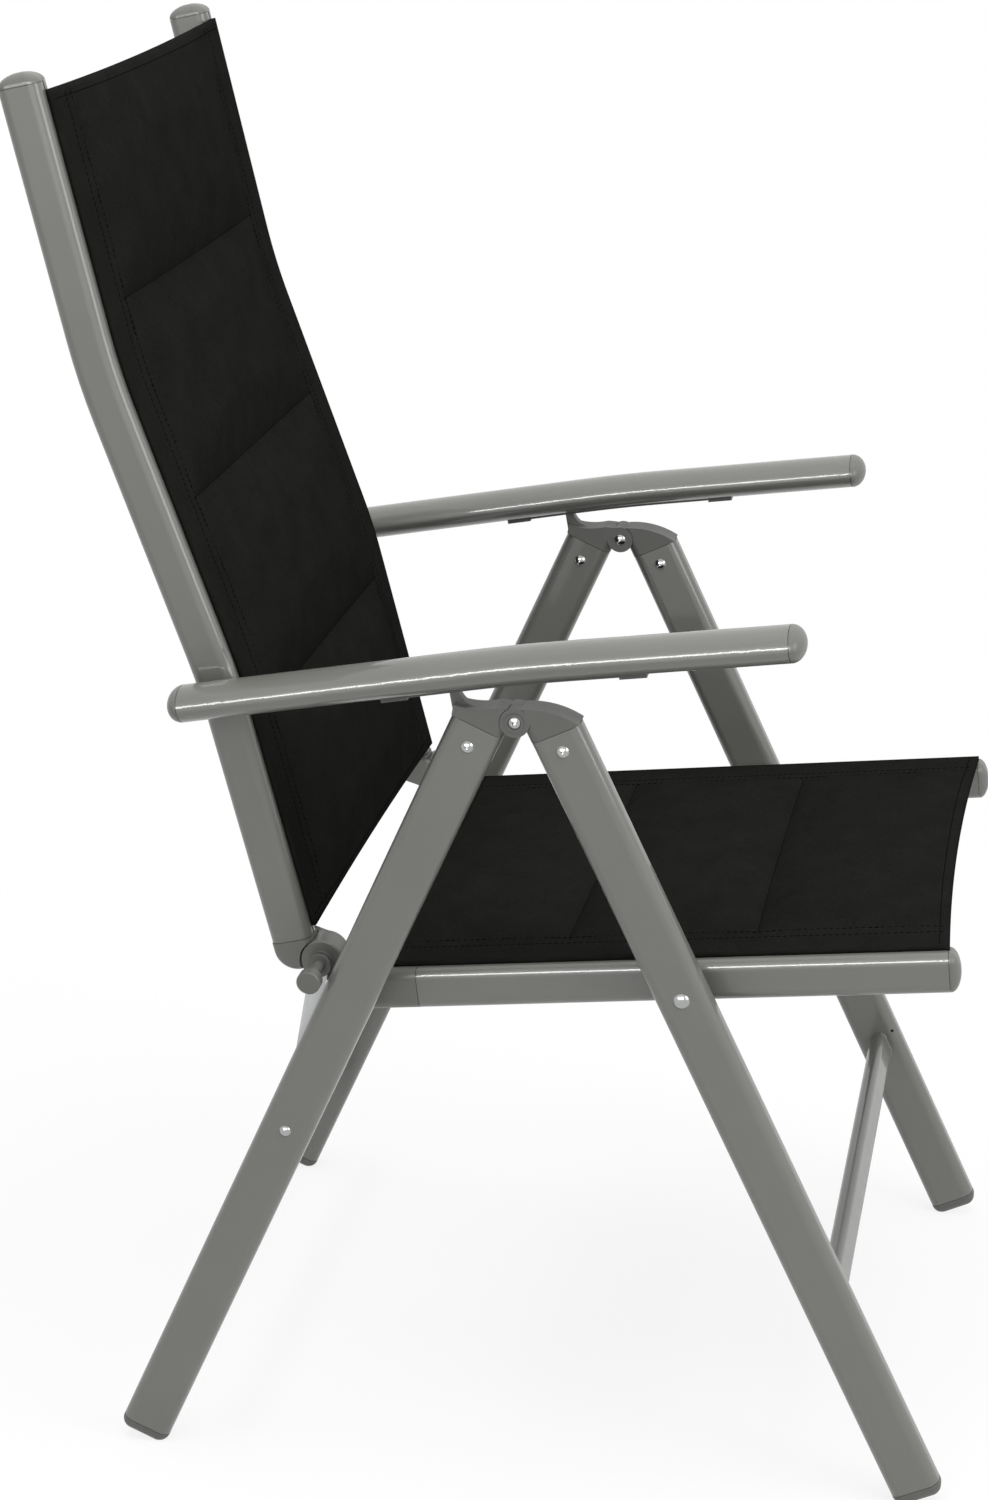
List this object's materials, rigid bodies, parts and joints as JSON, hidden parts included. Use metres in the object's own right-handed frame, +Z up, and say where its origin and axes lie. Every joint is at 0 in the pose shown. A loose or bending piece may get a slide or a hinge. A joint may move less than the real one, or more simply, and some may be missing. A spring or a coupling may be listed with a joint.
{
  "type": "folding garden armchair",
  "caption": "High-back folding garden armchair with oval aluminium tubes, plastic hinges, padded slings and armrests whose notched rails set the recline.",
  "frame": {"origin": "on the floor, at the middle of the overall width and depth", "axes": "+X to the front of the chair, +Y to the left of a person sitting in it, +Z up"},
  "size_m": [0.6976, 0.54, 1.0703],
  "materials": {
    "coated_tube": "satin powder coat",
    "hinge_plastic": "moulded, satin",
    "foot_plastic": "moulded, matt",
    "rail_plastic": "moulded, satin",
    "zinc_steel": "bright zinc",
    "bare_aluminium": "plain",
    "sling_cloth": "woven, coated",
    "edge_cord": "extruded"
  },
  "bodies": {
    "rear_frame": {"rear_leg_left": "coated_tube", "rear_foot_left": "foot_plastic", "rear_hinge_left": "hinge_plastic", "rear_leg_right": "coated_tube", "rear_foot_right": "foot_plastic", "rear_hinge_right": "hinge_plastic", "rear_crossbar": "coated_tube", "rear_leg_rivets": "zinc_steel", "link_rivets": "zinc_steel"},
    "front_frame": {"front_leg_left": "coated_tube", "front_foot_left": "foot_plastic", "front_hinge_left": "hinge_plastic", "front_leg_right": "coated_tube", "front_foot_right": "foot_plastic", "front_hinge_right": "hinge_plastic", "front_crossbar": "coated_tube", "front_leg_rivets": "zinc_steel", "hinge_pivots": "zinc_steel", "seat_bolts": "zinc_steel", "seat_bushes": "hinge_plastic"},
    "link_left": {"link_left": "bare_aluminium"},
    "link_right": {"link_right": "bare_aluminium"},
    "seat": {"seat_tube_left": "coated_tube", "seat_cord_left": "edge_cord", "seat_cap_left": "hinge_plastic", "seat_hinge_left": "hinge_plastic", "seat_tube_right": "coated_tube", "seat_cord_right": "edge_cord", "seat_cap_right": "hinge_plastic", "seat_hinge_right": "hinge_plastic", "seat_bar_front": "coated_tube", "seat_bar_rear": "coated_tube", "seat_nuts": "zinc_steel", "seat_sling": "sling_cloth"},
    "hip_pins": {"hip_pin_left": "hinge_plastic", "hip_pin_right": "hinge_plastic"},
    "backrest": {"back_tube_left": "coated_tube", "back_cord_left": "edge_cord", "back_cap_left": "hinge_plastic", "back_knuckle_left": "hinge_plastic", "back_tube_right": "coated_tube", "back_cord_right": "edge_cord", "back_cap_right": "hinge_plastic", "back_knuckle_right": "hinge_plastic", "back_bar_low": "coated_tube", "back_bar_top": "coated_tube", "back_sling": "sling_cloth"},
    "arm_bolts": {"arm_bolt_left": "zinc_steel", "arm_bolt_right": "zinc_steel"},
    "arm_bushes": {"arm_bush_left": "hinge_plastic", "arm_bush_right": "hinge_plastic"},
    "armrest_left": {"armrest_left": "coated_tube", "arm_cap_front_left": "hinge_plastic", "arm_cap_rear_left": "hinge_plastic", "notch_rail_left": "rail_plastic"},
    "armrest_right": {"armrest_right": "coated_tube", "arm_cap_front_right": "hinge_plastic", "arm_cap_rear_right": "hinge_plastic", "notch_rail_right": "rail_plastic"}
  },
  "joints": [
    {"name": "fold", "type": "hinge", "parent": "rear_frame", "child": "front_frame", "pos_m": [0.0201, 0, 0.6265], "axis": [0, 1, 0], "range_deg": [0, 49.6]},
    {"name": "link_left_turn", "type": "hinge", "parent": "rear_frame", "child": "link_left", "pos_m": [-0.16259, 0, 0.28691], "axis": [0, -1, 0], "range_deg": [0, 144]},
    {"name": "link_right_turn", "type": "hinge", "parent": "rear_frame", "child": "link_right", "pos_m": [-0.16259, 0, 0.28691], "axis": [0, -1, 0], "range_deg": [0, 144]},
    {"name": "seat_turn", "type": "hinge", "parent": "link_left", "child": "seat", "pos_m": [-0.13787, 0, 0.4155], "axis": [0, 1, 0], "range_deg": [0, 99]},
    {"name": "hip_turn", "type": "hinge", "parent": "seat", "child": "hip_pins", "pos_m": [-0.13787, 0, 0.4155], "axis": [0, 1, 0], "range_deg": [0, 90.2]},
    {"name": "recline", "type": "hinge", "parent": "hip_pins", "child": "backrest", "pos_m": [-0.13787, 0, 0.4155], "axis": [0, -1, 0], "range_deg": [0, 28]},
    {"name": "arm_bolt_turn", "type": "hinge", "parent": "backrest", "child": "arm_bolts", "pos_m": [-0.20957, 0, 0.62833], "axis": [0, -1, 0], "range_deg": [0, 100.2]},
    {"name": "arm_bush_turn", "type": "hinge", "parent": "arm_bolts", "child": "arm_bushes", "pos_m": [-0.20957, 0, 0.62833], "axis": [0, 1, 0], "range_deg": [0, 19.2]},
    {"name": "lift_left", "type": "hinge", "parent": "arm_bushes", "child": "armrest_left", "pos_m": [-0.20957, 0, 0.62833], "axis": [0, -1, 0], "range_deg": [0, 3]},
    {"name": "lift_right", "type": "hinge", "parent": "arm_bushes", "child": "armrest_right", "pos_m": [-0.20957, 0, 0.62833], "axis": [0, -1, 0], "range_deg": [0, 3]}
  ],
  "couplings": [
    {"joint": "link_left_turn", "follows": "fold", "ratio": 2.8991},
    {"joint": "link_right_turn", "follows": "fold", "ratio": 2.8991},
    {"joint": "seat_turn", "follows": "fold", "ratio": 1.9931},
    {"joint": "hip_turn", "follows": "fold", "ratio": 1.8133},
    {"joint": "arm_bolt_turn", "follows": "fold", "ratio": 2.0137},
    {"joint": "arm_bush_turn", "follows": "recline", "ratio": 0.68061}
  ]
}
